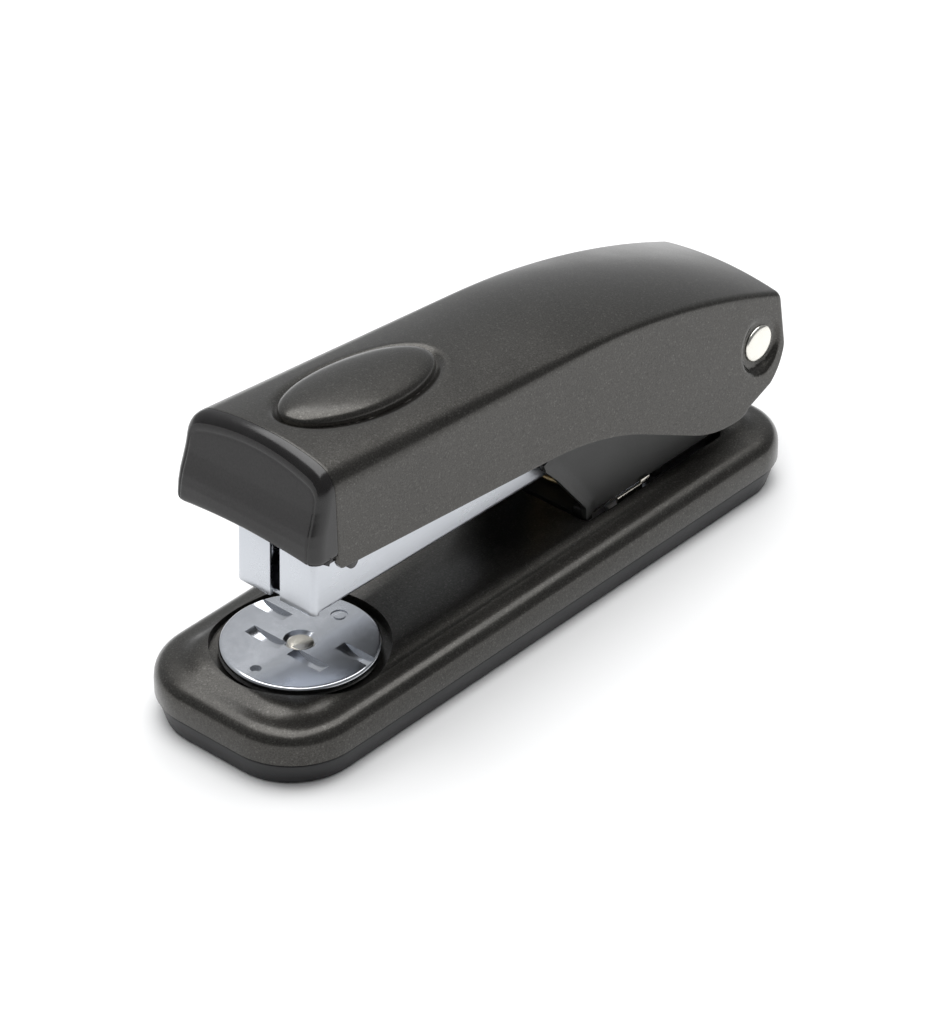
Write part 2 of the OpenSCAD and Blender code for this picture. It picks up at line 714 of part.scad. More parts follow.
module cover() {
    color([0.2, 0.19, 0.185]) difference() {
        union() {
            sheet([for (p = lower_edge()) sheet_row(p.x, p.y)]);
            translate([cover_rear - cover_t - 0.1, 0, 0]) rotate([90, 0, 90])
                linear_extrude(cover_t) polygon(across(cover_rear, cover_t / 2, pin_z + 1.2));
            for (s = [-1, 1])
                both_sides(s, pin_pad_in, pin_pad_out) translate([pin_x, pin_z]) circle(r = pin_head_r + 1.9);
        }
        for (s = [-1, 1])
            both_sides(s, pin_pad_out, base_w) translate([pin_x, pin_z]) circle(r = pin_head_r + 1.1);
        cross_bar(pin_r + run_clear, -base_w, base_w);
        pad_frame() translate([0, 0, -4]) oval(pad_len / 2 + inset_clear, pad_w / 2 + inset_clear, 8);
    }
}

// Puts its children on the crown of the cover at the thumb pad
module pad_frame() {
    translate([pad_x, 0, shoulder_height(pad_x) + cover_crown]) rotate([0, shoulder_slope, 0]) children();
}

module oval(a, b, h) {
    linear_extrude(h) polygon([for (i = [0:47]) [a * cos(i * 7.5), b * sin(i * 7.5)]]);
}

module thumb_pad() {
    lip = 1;
    fall = cover_crown * pow((pad_w / 2 + lip) / top_half(pad_x), 2);
    color([0.17, 0.165, 0.16]) difference() {
        pad_frame() {
            translate([0, 0, -pad_low]) oval(pad_len / 2, pad_w / 2, pad_low + pad_rise - 0.5);
            hull() {
                translate([0, 0, pad_rise - 0.6]) oval(pad_len / 2, pad_w / 2, 0.1);
                translate([0, 0, pad_rise - 0.1]) oval(pad_len / 2 - 1.8, pad_w / 2 - 1.5, 0.1);
            }
            translate([0, 0, -pad_low])
                oval(pad_len / 2 + lip, pad_w / 2 + lip, pad_low - cover_t - fall - side_clear);
        }
        driver_rivet_shape(1, -2, 1.5);
    }
}

// Nose cap as a solid inset by t: a leaning face with rounded edges, run back to the cover
module cap_solid(t, back, low) {
    top_r = 2.6;
    low_r = 1.7;
    z1 = shoulder_z0 - top_r;
    z0 = lower_nose_z + 1.7 + low_r;
    x0 = cap_front + low_r;
    x1 = cap_front + (z1 - z0) * tan(cap_lean) + top_r - 0.2;
    half = top_half(cover_front);
    hull() {
        for (s = [-1, 1]) {
            translate([x0, s * (half + nose_lean * (z1 - z0) - low_r), z0])
                sphere(r = low_r - t, $fn = hull_fn);
            translate([x1, s * (half - top_r + 0.4), z1]) sphere(r = top_r - t, $fn = hull_fn);
            translate([x1, s * half / 2, z1 + cover_crown * 0.55]) sphere(r = top_r - t, $fn = hull_fn);
        }
        translate([x1, 0, z1 + cover_crown * 0.75]) sphere(r = top_r - t, $fn = hull_fn);
        translate([cover_front + back - 0.1, 0, 0]) rotate([90, 0, 90])
            linear_extrude(0.1) polygon(across(cover_front, t, low));
    }
}

module nose_cap() {
    low = lower_nose_z + 1.7;
    arch_r = 80;
    color([0.06, 0.06, 0.065]) {
        difference() {
            cap_solid(0, -side_clear, low);
            cap_solid(cap_t, cut, low - 4);
            translate([cover_front - side_clear, -base_w, 0]) cube([base_w, 2 * base_w, 2 * shoulder_z0]);
            translate([0, 0, low + cap_arch - arch_r]) rotate([0, 90, 0])
                cylinder(r = arch_r, h = base_len, center = true, $fn = 180);
        }
        for (s = [-1, 1]) cap_arm(s);
    }
}

// Arm of the nose cap inside one wall of the cover, with a nub that shows below the wall
module cap_arm(s) {
    arm_t = 1;
    y = top_half(cover_front) - cover_t - inset_clear;
    angle = atan(nose_lean);
    depth = (shoulder_z0 - lower_nose_z) / cos(angle);
    translate([cover_front, s * y, shoulder_z0 - cover_t]) rotate([s * angle, 0, 0])
        translate([0, s > 0 ? 0 : arm_t, 0]) rotate([90, 0, 0]) linear_extrude(arm_t) {
            translate([-1.6, -depth + 2.4]) square([7, 7]);
            translate([3, -depth]) circle(r = nub_r);
            translate([3 - nub_r, -depth]) square([2 * nub_r, 3]);
        }
}

// Puts its children at the blade's tip, in line with the blade
module blade_frame() {
    mag_frame() translate([blade_front, 0, blade_tip]) rotate([0, blade_lean, 0]) children();
}

// Puts its children on the driver's top flange, in line with the cover's top
module driver_frame() {
    translate([driver_x, 0, shoulder_height(driver_x) + cover_crown - pad_low - side_clear])
        rotate([0, shoulder_slope, 0]) children();
}

// Shapes along the two rivets of the driver, between two heights over its flange
module driver_rivet_shape(r, z0, z1) {
    driver_frame() for (s = [-1, 1]) translate([2.2, s * 3.4, z0]) cylinder(r = r, h = z1 - z0);
}

module driver() {
    flange_t = 0.8;
    roof = shoulder_height(driver_x) + cover_crown - pad_low;
    blade_h = roof - pin_z - blade_tip - mag_reach * sin(mag_tilt) + 0.3;
    color([0.75, 0.76, 0.78]) difference() {
        union() {
            blade_frame() translate([0, -blade_half, 0]) cube([blade_t, 2 * blade_half, blade_h]);
            driver_frame() translate([-7.4, -blade_half, -flange_t]) cube([14.4, 2 * blade_half, flange_t]);
        }
        driver_rivet_shape(1, -2, 1);
    }
}

module driver_rivets() {
    color([0.7, 0.7, 0.72]) {
        driver_rivet_shape(1.7, -1.3, -0.8);
        driver_rivet_shape(1, -0.9, 1.4);
    }
}

base_sole();
base_shell();
anvil();
anvil_rivet();
anvil_button();
anvil_spring();
hinge_bracket();
bracket_rivets();
hinge_housing();
pivot_pin();
pin_cap();
hinge_spacers();
return_spring();
magazine();
magazine_core();
core_rivets();
staple_strip();
pusher();
pusher_spring();
spring_rod();
rod_anchor();
spring_bridge();
lift_spring();
cover();
nose_cap();
thumb_pad();
driver();
driver_rivets();
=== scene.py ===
import math
import bpy
import bmesh
from mathutils import Matrix, Vector


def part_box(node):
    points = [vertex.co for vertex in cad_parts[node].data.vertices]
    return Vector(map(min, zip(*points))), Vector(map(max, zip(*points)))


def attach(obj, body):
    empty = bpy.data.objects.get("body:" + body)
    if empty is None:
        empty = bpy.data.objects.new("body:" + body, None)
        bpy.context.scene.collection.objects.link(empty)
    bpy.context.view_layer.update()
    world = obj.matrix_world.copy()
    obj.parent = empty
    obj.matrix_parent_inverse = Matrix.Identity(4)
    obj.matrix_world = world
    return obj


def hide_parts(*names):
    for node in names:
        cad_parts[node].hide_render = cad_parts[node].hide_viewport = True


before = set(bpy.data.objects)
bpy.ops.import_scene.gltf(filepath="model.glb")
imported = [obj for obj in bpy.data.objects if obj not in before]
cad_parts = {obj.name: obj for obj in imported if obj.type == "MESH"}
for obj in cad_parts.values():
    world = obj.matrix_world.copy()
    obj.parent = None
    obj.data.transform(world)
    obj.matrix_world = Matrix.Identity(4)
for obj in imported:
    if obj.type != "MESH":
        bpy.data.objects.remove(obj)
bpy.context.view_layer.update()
mm = 0.001  # pieces are drawn in millimetres and scaled once, when they are finished
scene = bpy.context.scene
print("frame loaded:", len(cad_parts), "nodes")

# the camera
view = {"azimuth": -48.39, "elevation": 34.49, "target": (13.84, 13.43, 0.0), "distance": 731.5,
        "lens": 175.78, "sensor": 36.0}
a, e = math.radians(view["azimuth"]), math.radians(view["elevation"])
backward = Vector((math.sin(a) * math.cos(e), -math.cos(a) * math.cos(e), math.sin(e)))
camera = bpy.data.objects.new("camera", bpy.data.cameras.new("camera"))
scene.collection.objects.link(camera)
camera.location = (Vector(view["target"]) + backward * view["distance"]) * mm
camera.rotation_euler = backward.to_track_quat("Z", "Y").to_euler()
camera.data.lens = view["lens"]
camera.data.sensor_width = view["sensor"]
camera.data.clip_start = 0.01
scene.camera = camera
scene.view_settings.view_transform = "Standard"


class Wire:
    # wraps one socket, so that sums on it add Math nodes
    def __init__(self, tree, socket):
        self.tree, self.socket = tree, socket

    def __add__(self, other): return node(self.tree, "Math", {"operation": "ADD"}, {0: self, 1: other})

    def __mul__(self, other): return node(self.tree, "Math", {"operation": "MULTIPLY"}, {0: self, 1: other})

    __radd__, __rmul__ = __add__, __mul__


def node(tree, kind, settings=None, sockets=None, output=0):
    made = tree.nodes.new("ShaderNode" + kind)
    for key, value in (settings or {}).items():
        if key == "stops":
            while len(made.color_ramp.elements) < len(value):
                made.color_ramp.elements.new(1)
            for stop, (place, shade) in zip(made.color_ramp.elements, value):
                stop.position = place
                stop.color = (*shade, 1)
        else:
            setattr(made, key, value)
    for key, value in (sockets or {}).items():
        if isinstance(value, Wire):
            tree.links.new(value.socket, made.inputs[key])
        else:
            made.inputs[key].default_value = value
    return Wire(tree, made.outputs[output])


class Finish:
    # one material: a Principled shader with steady values, and wires for what varies
    def __init__(self, name, **steady):
        self.material = bpy.data.materials.new(name)
        self.material.use_nodes = True
        self.tree = self.material.node_tree
        self.shader = self.tree.nodes["Principled BSDF"]
        for key, value in steady.items():
            self.shader.inputs[key.replace("_", " ")].default_value = value
        self.place = self.add("TexCoord", output=3)

    def add(self, kind, settings=None, sockets=None, output=0):
        return node(self.tree, kind, settings, sockets, output)

    def feed(self, **wires):
        for key, wire in wires.items():
            self.tree.links.new(wire.socket, self.shader.inputs[key.replace("_", " ")])

    def stretched(self, scale):
        return self.add("Mapping", {"vector_type": "POINT"}, {"Vector": self.place, "Scale": scale})

    def noise(self, size, detail=2.0, where=None, rough=0.5):
        # size is the width of one patch in millimetres
        return self.add("TexNoise", None, {"Vector": where or self.place, "Scale": 1 / (size * mm),
                                           "Detail": detail, "Roughness": rough})

    def cells(self, size, output=0):
        return self.add("TexVoronoi", None, {"Vector": self.place, "Scale": 1 / (size * mm)}, output)

    def ramp(self, wire, stops):
        return self.add("ValToRGB", {"stops": stops}, {"Fac": wire})

    def spread(self, wire, low, high, fromLow=0.3, fromHigh=0.7):
        return self.add("MapRange", None, {"Value": wire, "From Min": fromLow, "From Max": fromHigh,
                                           "To Min": low, "To Max": high})

    def blendColor(self, factor, first, second):
        return self.add("Mix", {"data_type": "RGBA"}, {0: factor, 6: first, 7: second}, 2)

    def bump(self, height, depth, strength=1.0, normal=None):
        sockets = {"Height": height, "Distance": depth * mm, "Strength": strength}
        if normal:
            sockets["Normal"] = normal
        return self.add("Bump", None, sockets)


def pearlPaint():
    # dark warm paint with fine bright flakes, under a thin clear coat
    tone = {"deep": (0.015, 0.0132, 0.0112, 1), "flake": (0.285, 0.277, 0.257, 1), "grain": 0.2, "soft": 0.31}
    f = Finish("pearlPaint", Metallic=0.82, Coat_Weight=0.3, Coat_Roughness=0.16, Coat_IOR=1.45)
    grain = f.noise(tone["grain"], 3, rough=0.7)
    flakes = f.cells(0.22, 1)
    glint = f.add("SeparateColor", None, {"Color": flakes}, 0)
    rare = f.spread(glint, 0, 1, 0.86, 1.0)
    amount = f.spread(grain, 0.07, 0.24, 0.35, 0.72) + rare * 0.12
    f.feed(Base_Color=f.blendColor(amount, tone["deep"], tone["flake"]))
    f.feed(Roughness=f.spread(f.noise(9, 2), tone["soft"] - 0.03, tone["soft"] + 0.04))
    waves = f.bump(f.noise(1.1, 3), 0.012, 0.5)
    f.feed(Normal=f.bump(grain, 0.012, 0.3, waves))
    return f.material


def grainedPlastic(name, color, soft, grain, depth):
    f = Finish(name, Specular_IOR_Level=0.5)
    fine = f.noise(grain, 3, rough=0.65)
    patch = f.noise(14, 3)
    light = tuple(min(1, c * 1.6 + 0.002) for c in color)
    f.feed(Base_Color=f.blendColor(f.spread(fine + patch * 0.6, 0, 1, 0.5, 1.1), (*color, 1), (*light, 1)))
    f.feed(Roughness=f.spread(patch, soft - 0.05, soft + 0.05))
    f.feed(Normal=f.bump(fine, depth, 0.6))
    return f.material


def glossPlastic():
    f = Finish("glossPlastic", Specular_IOR_Level=0.55)
    wear = f.noise(6, 4)
    f.feed(Base_Color=f.ramp(wear, [(0.3, (0.008, 0.007, 0.007)), (0.7, (0.014, 0.013, 0.013))]))
    f.feed(Roughness=f.spread(f.noise(2.2, 4), 0.18, 0.26))
    f.feed(Normal=f.bump(f.noise(1.6, 2), 0.01, 0.25))
    return f.material


def platedMetal(name, color, soft, stretch=(1, 1, 1), grain=0.3, depth=0.004, tint=0.12, metallic=1.0):
    # plated or brushed metal: stretch below 1 lengthens the brush marks along that axis
    f = Finish(name, Metallic=metallic)
    brushed = f.noise(grain, 4, f.stretched(stretch), 0.6)
    cloud = f.noise(5, 3)
    dark = tuple(c * (1 - tint) for c in color)
    f.feed(Base_Color=f.blendColor(f.spread(brushed * 0.6 + cloud * 0.4, 0, 1), (*dark, 1), (*color, 1)))
    f.feed(Roughness=f.spread(brushed * 0.5 + cloud * 0.5, soft * 0.8, soft * 1.25))
    f.feed(Normal=f.bump(brushed, depth, 0.4))
    return f.material


paint = pearlPaint()
faceGrain = grainedPlastic("faceGrain", (0.017, 0.016, 0.016), 0.52, 0.32, 0.03)
housingGrain = grainedPlastic("housingGrain", (0.012, 0.012, 0.011), 0.42, 0.28, 0.02)
soleGrain = grainedPlastic("soleGrain", (0.005, 0.005, 0.006), 0.42, 0.3, 0.02)
darkGloss = glossPlastic()
chrome = platedMetal("anvilChrome", (0.66, 0.68, 0.72), 0.15, (1, 1, 1), 1.2, 0.002, 0.08)
brightSheet = platedMetal("brightSheet", (0.58, 0.60, 0.635), 0.30, (0.06, 1, 1), 0.35, 0.004, 0.07)
zincSheet = platedMetal("zincSheet", (0.62, 0.63, 0.66), 0.32, (0.1, 1, 1), 0.4, 0.004, 0.15)
darkSheet = platedMetal("darkSheet", (0.20, 0.20, 0.21), 0.38, (0.1, 1, 1), 0.4, 0.004, 0.2)
nickel = platedMetal("nickel", (0.78, 0.74, 0.66), 0.24, (1, 1, 1), 0.8, 0.003, 0.15)
paleNickel = platedMetal("paleNickel", (0.84, 0.82, 0.76), 0.22, (1, 1, 1), 1.4, 0.003, 0.10)
brassWire = platedMetal("brassWire", (0.70, 0.54, 0.30), 0.25, (1, 1, 1), 0.6, 0.003, 0.2)
steelWire = platedMetal("steelWire", (0.55, 0.55, 0.57), 0.28, (1, 1, 1), 0.6, 0.003, 0.2)
stapleWire = platedMetal("stapleWire", (0.74, 0.74, 0.76), 0.26, (1, 0.08, 1), 0.3, 0.003, 0.15)
print("materials ready")


def softStep(low, high, x):
    t = min(1, max(0, (x - low) / (high - low)))
    return t * t * (3 - 2 * t)


def alongCurve(points, t):
    # a smooth curve through evenly spaced points, for t from 0 to 1
    last = len(points) - 1
    i = min(int(t * last), last - 1)
    s = t * last - i
    p = [Vector(points[min(max(k, 0), last)]) for k in (i - 1, i, i + 1, i + 2)]
    return 0.5 * (2 * p[1] + (p[2] - p[0]) * s + (2 * p[0] - 5 * p[1] + 4 * p[2] - p[3]) * s * s
                  + (3 * p[1] - p[0] - 3 * p[2] + p[3]) * s ** 3)


def readTable(table, x):
    # straight lines between (x, value) pairs that rise in x
    for (x0, v0), (x1, v1) in zip(table, table[1:]):
        if x <= x1:
            return v0 + (v1 - v0) * (x - x0) / (x1 - x0)
    return table[-1][1]


def sheetGrid(columns, rows, place):
    # a grid whose points go where place(u, w) says, with u from 0 to 1 and w from -1 to 1
    bm = bmesh.new()
    bmesh.ops.create_grid(bm, x_segments=columns, y_segments=rows, size=1)
    for vert in bm.verts:
        vert.co = place((vert.co.x + 1) / 2, vert.co.y)
    return bm


def lathe(profile, steps=64, axis=(0, 0, 1), center=(0, 0, 0)):
    # spins an open profile of (radius, height) points round Z
    bm = bmesh.new()
    verts = [bm.verts.new((r, 0, z)) for r, z in profile]
    edges = [bm.edges.new(pair) for pair in zip(verts, verts[1:])]
    bmesh.ops.spin(bm, geom=verts + edges, cent=(0, 0, 0), axis=(0, 0, 1), angle=2 * math.pi, steps=steps,
                   use_merge=True)
    bmesh.ops.remove_doubles(bm, verts=bm.verts, dist=0.0005)
    turn = Vector((0, 0, 1)).rotation_difference(Vector(axis)).to_matrix().to_4x4()
    bmesh.ops.transform(bm, matrix=Matrix.Translation(center) @ turn, verts=bm.verts)
    return bm


def newVerts(grown):
    # the vertices among the parts that an operator gave back
    return [part for part in grown if isinstance(part, bmesh.types.BMVert)]


def block(low, high, round=0.2, segments=2):
    # a box with rounded edges
    bm = bmesh.new()
    bmesh.ops.create_cube(bm, size=1)
    low, high = Vector(low), Vector(high)
    bmesh.ops.scale(bm, vec=high - low, verts=bm.verts)
    bmesh.ops.translate(bm, vec=(low + high) / 2, verts=bm.verts)
    bmesh.ops.bevel(bm, geom=bm.edges[:], offset=round, segments=segments, profile=0.5, affect="EDGES",
                    material=-1)
    return bm


def slab(outline, low, high, round=0.2, segments=2):
    # an outline of (x, z) points as a plate between two y values, with rounded edges
    bm = bmesh.new()
    face = bm.faces.new([bm.verts.new((x, low, z)) for x, z in outline])
    grown = bmesh.ops.extrude_face_region(bm, geom=[face])["geom"]
    bmesh.ops.translate(bm, vec=(0, high - low, 0), verts=newVerts(grown))
    bmesh.ops.recalc_face_normals(bm, faces=bm.faces)
    if round:
        bmesh.ops.bevel(bm, geom=bm.edges[:], offset=round, segments=segments, profile=0.5,
                        affect="EDGES", material=-1, clamp_overlap=True)
    return bm


def coil(radius, wire, length, turns, perTurn=40, sides=12):
    # a round wire wound along +Z from z = 0, with closed end turns
    bm = bmesh.new()
    free = (length - 4 * wire) / (turns - 2)
    parts = [(1, 2 * wire), (turns - 2, free * (turns - 2)), (1, 2 * wire)]
    made = bmesh.ops.create_circle(bm, segments=sides, radius=wire, cap_ends=True)
    bmesh.ops.rotate(bm, cent=(0, 0, 0), matrix=Matrix.Rotation(math.pi / 2, 3, "X"), verts=made["verts"])
    bmesh.ops.translate(bm, vec=(radius, 0, wire), verts=made["verts"])
    ring = bm.faces[:]
    for count, rise in parts:
        steps = max(1, round(count * perTurn))
        grown = bmesh.ops.spin(bm, geom=ring, cent=(0, 0, 0), axis=(0, 0, 1), angle=2 * math.pi * count,
                               steps=steps, dvec=(0, 0, rise / steps))
        ring = [g for g in grown["geom_last"] if isinstance(g, bmesh.types.BMFace)]
    return bm


def join(*parts):
    # puts several meshes into the first one
    for part in parts[1:]:
        kept = bpy.data.meshes.new("part")
        part.to_mesh(kept)
        part.free()
        parts[0].from_mesh(kept)
        bpy.data.meshes.remove(kept)
    return parts[0]


def finish(name, bm, body, finishes, replaced=(), modifiers=(), sharp=38):
    # merges, scales and links a drawn piece, applies its modifiers, attaches it to its body and hides the
    # frame parts it replaces
    bmesh.ops.remove_doubles(bm, verts=bm.verts, dist=0.0005)
    bmesh.ops.recalc_face_normals(bm, faces=bm.faces)
    bmesh.ops.scale(bm, vec=(mm, mm, mm), verts=bm.verts)
    mesh = bpy.data.meshes.new(name)
    bm.to_mesh(mesh)
    bm.free()
    piece = bpy.data.objects.new(name, mesh)
    scene.collection.objects.link(piece)
    for each in finishes:
        mesh.materials.append(each)
    for kind, settings in modifiers:
        added = piece.modifiers.new(kind.lower(), kind)
        for key, value in settings.items():
            setattr(added, key, value)
    if modifiers:
        ready = piece.evaluated_get(bpy.context.evaluated_depsgraph_get())
        piece.data = bpy.data.meshes.new_from_object(ready)
        piece.modifiers.clear()
        piece.data.name = name
    piece.data.shade_smooth()
    piece.data.set_sharp_from_angle(angle=math.radians(sharp))
    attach(piece, body)
    if replaced:
        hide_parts(*replaced)
    return piece


def wall(thickness, edge, segments=2):
    # the modifiers that give a sheet its thickness, inwards, and round its cut edges
    return [("SOLIDIFY", {"thickness": thickness * mm, "offset": -1, "use_even_offset": False}),
            ("BEVEL", {"width": edge * mm, "segments": segments, "limit_method": "ANGLE",
                       "angle_limit": math.radians(50)})]


# the cover's steel shell
cover = {"noseX": -42.0, "rearX": 55.2, "noseHalf": 12.8, "rearHalf": 11.1, "noseLean": 0.03,
         "rearLean": 0.14, "sheet": 0.8, "shoulderZ": 46.3, "slope": math.radians(5.9), "bendX": 8.0,
         "bendRadius": 156.0, "crown": 2.0, "rearCrown": 1.1, "rearRound": 0.9, "edge": 0.22,
         "topShare": 0.36, "bendShare": 0.10, "turnFrom": 0.90, "closeFrom": 0.95}
hinge = {"x": 49.0, "z": 23.1, "dimple": 3.75, "dimpleRim": 4.7, "padY": 11.65}
pad = {"x": -23.8, "halfLength": 14.25, "halfWidth": 6.4, "rise": 1.4, "groove": 0.75, "grooveWidth": 0.75}


def alongCover(x):
    # how far x is along the cover, from 0 at its nose to 1 at its rear
    return (x - cover["noseX"]) / (cover["rearX"] - cover["noseX"])


def topHalf(x):
    return cover["noseHalf"] + (cover["rearHalf"] - cover["noseHalf"]) * alongCover(x)


def shoulderZ(x):
    c = cover
    if x < c["bendX"]:
        return c["shoulderZ"] - (x - c["noseX"]) * math.tan(c["slope"])
    bendZ = c["shoulderZ"] - (c["bendX"] - c["noseX"]) * math.tan(c["slope"])
    cx = c["bendX"] - c["bendRadius"] * math.sin(c["slope"])
    return bendZ - c["bendRadius"] * math.cos(c["slope"]) + math.sqrt(c["bendRadius"] ** 2 - (x - cx) ** 2)


def crownAt(x):
    return cover["crown"] + (cover["rearCrown"] - cover["crown"]) * softStep(5, cover["rearX"], x)


def topZ(x, y):
    return shoulderZ(x) + crownAt(x) * (1 - (y / topHalf(x)) ** 2)


def leanAt(x):
    return cover["noseLean"] + (cover["rearLean"] - cover["noseLean"]) * alongCover(x)


def across(half, z, soft, crown, footZ, w, lean):
    # the point (y, z) on a section of the cover: w = 0 is the crown, w = 1 or -1 the foot of a wall
    t, topShare, bendEnd = abs(w), cover["topShare"], cover["topShare"] + cover["bendShare"]
    if t <= topShare:
        y = (half - soft) * t / topShare
        point = (y, z + crown * (1 - (y / half) ** 2))
    elif t <= bendEnd:
        s = (t - topShare) / cover["bendShare"]
        b = (half - soft, z + crown * (1 - ((half - soft) / half) ** 2))
        foot = (half + lean * soft, z - soft)
        point = [(1 - s) ** 2 * p + 2 * s * (1 - s) * c + s * s * q for p, c, q in zip(b, (half, z), foot)]
    else:
        s = (t - bendEnd) / (1 - bendEnd)
        point = (half + lean * (soft + s * (z - soft - footZ)), z - soft - s * (z - soft - footZ))
    return (math.copysign(point[0], w), point[1])


def lowerEdge(x):
    # height of the cover's lower edge, arched over the hinge and rounded up at the rear
    if x < -41:
        return 32.4 - math.sqrt(max(0, 1 - (x + 41) ** 2))
    if x < 1.98:
        return 31.4 - 0.0956 * (x + 41)
    if x < 21.87:
        return -27.5 + math.sqrt(55 ** 2 - (x + 3.1) ** 2)
    if x < 31.97:
        return 21.5 - 0.502 * (x - 21.87)
    if x < 42.5:
        return 37.1 - math.sqrt(23.2 ** 2 - (x - 42.5) ** 2)
    if x < 44.96:
        return 17.9 - math.sqrt(16 - (x - 42.5) ** 2)
    if x < 50.43:
        return 14.77 + 0.252 * (x - 44.96)
    return 24.1 - math.sqrt(max(0, 81 - (x - 46.2) ** 2))


def pressed(x, y, z):
    # pushes in the dimples round the pin's heads and the groove round the thumb pad
    if z < shoulderZ(x) - 1:
        reach = math.hypot(x - hinge["x"], z - hinge["z"])
        amount = softStep(hinge["dimpleRim"], hinge["dimple"], reach)
        return y + amount * (math.copysign(min(abs(y), hinge["padY"]), y) - y), z
    u, v = (x - pad["x"]) / pad["halfLength"], y / pad["halfWidth"]
    ratio = math.hypot(u, v)
    if 0.5 < ratio < 1.6:
        slope = math.hypot(u / pad["halfLength"], v / pad["halfWidth"]) / ratio
        away = (ratio - 1) / slope
        z -= pad["groove"] * math.exp(-(away / pad["grooveWidth"]) ** 2)
    return y, z


def coverPoint(u, w):
    r, rear = cover["rearRound"], cover["rearX"]
    turnFrom, closeFrom = cover["turnFrom"], cover["closeFrom"]
    x = readTable([(0, cover["noseX"]), (0.44, -8), (0.70, 42), (turnFrom, rear - r), (1.1, rear - r)], u)
    turn = min(1, max(0, (u - turnFrom) / (closeFrom - turnFrom))) * math.pi / 2
    x += r * math.sin(turn)
    inset = r * (1 - math.cos(turn))
    soft = max(0.9, 3.2 - 2.3 * (x - cover["noseX"]) / 60) + 0.5 * inset
    foot = lowerEdge(min(x, rear))
    y, z = across(topHalf(x) - inset, shoulderZ(x) - inset, soft, crownAt(x), foot, w, leanAt(x))
    shrink = 1 - max(0, (u - closeFrom) / (1 - closeFrom))
    y, z = y * shrink, foot + (z - foot) * shrink
    y, z = pressed(x, y, z)
    return x, y, z


finish("coverShell", sheetGrid(190, 150, coverPoint), "cover", [paint], ["cover"],
       wall(cover["sheet"], cover["edge"]))
print("cover made")

# the thumb pad: distance from its middle and height, as shares of its size and rise
padProfile = [(0.0, 1.0), (0.12, 0.995), (0.25, 0.98), (0.4, 0.945), (0.55, 0.89), (0.68, 0.82), (0.79, 0.73),
              (0.87, 0.62), (0.925, 0.49), (0.965, 0.32), (0.99, 0.1), (1.0, -0.2), (1.0, -0.6),
              (0.985, -1.0)]
bm = lathe(padProfile, 120)
for vert in bm.verts:
    x = pad["x"] + vert.co.x * pad["halfLength"]
    y = vert.co.y * pad["halfWidth"]
    vert.co = (x, y, topZ(x, y) + vert.co.z * pad["rise"])
finish("thumbPadTop", bm, "cover", [paint], ["thumb_pad"])

# the nose cap: front is (z, x) of its face, border is (forward, inward) of its rounded edge
cap = {"wall": 1.2, "lowZ": 33.2, "archRise": 0.9, "seam": 0.06, "straight": 2.1, "sideShare": 0.6,
       "curl": 0.8, "curlZ": 34.4, "curlHigh": 1.2, "archHalf": 13.2, "archZ": 38,
       "front": [(33, -46.55), (34.7, -46.55), (36.4, -46.4), (38, -46.05), (39.8, -45.4), (41.2, -44.95),
                 (42.9, -44.55), (45.3, -44.0), (48, -43.4)],
       "border": [(0, 0), (0.35, 0.04), (0.75, 0.16), (1.15, 0.42), (1.5, 0.78), (1.78, 1.2), (1.95, 1.6),
                  (2.02, 1.95), (2.0, 2.25), (2.1, 2.6)]}


def capPoint(u, w):
    def outline(inset):
        soft = max(0.9, 3.2 - 0.75 * inset)
        return across(cover["noseHalf"] - inset * cap["sideShare"], cover["shoulderZ"] - inset, soft,
                      cover["crown"], cap["lowZ"], w, cover["noseLean"])
    inner = cap["border"][-1][1]
    forward = cover["noseX"] - readTable(cap["front"], outline(inner)[1])
    extra = max(0, forward - cap["straight"])
    share = min(1, forward / cap["straight"])
    toward = max(0, (u - 0.6) / 0.4)
    if u < 0.15:
        s, inset = extra * u / 0.15, 0
    elif u < 0.6:
        step = alongCurve([(*p, 0) for p in cap["border"]], (u - 0.15) / 0.45)
        s, inset = extra + step[0] * share, step[1]
    else:
        s, inset = forward, inner
    y, z = outline(inset)
    y, z = y * (1 - toward), z + (cap["lowZ"] - z) * toward
    if toward:
        s = cover["noseX"] - readTable(cap["front"], z)
    q = min(1, max(0, (cap["curlZ"] - z) / cap["curlHigh"]))  # the lower edge curls in
    curl = cap["curl"] * (1 - math.sqrt(1 - q * q))
    y -= math.copysign(curl * min(1, abs(y) / 10), y)
    z += cap["archRise"] * (1 - (y / cap["archHalf"]) ** 2) * (1 - softStep(cap["lowZ"], cap["archZ"], z))
    return cover["noseX"] - cap["seam"] - max(0, s - (curl if u > 0.15 else 0)), y, z


bm = sheetGrid(100, 150, capPoint)
bm.normal_update()
for face in bm.faces:
    x, y, z = face.calc_center_median()
    face.material_index = 1 if face.normal.x ** 2 > 0.8 and abs(y) < 11.7 + 0.03 * (46 - z) else 0
finish("noseCapShell", bm, "cover", [darkGloss, faceGrain], ["nose_cap"],
                  wall(cap["wall"], 0.25))

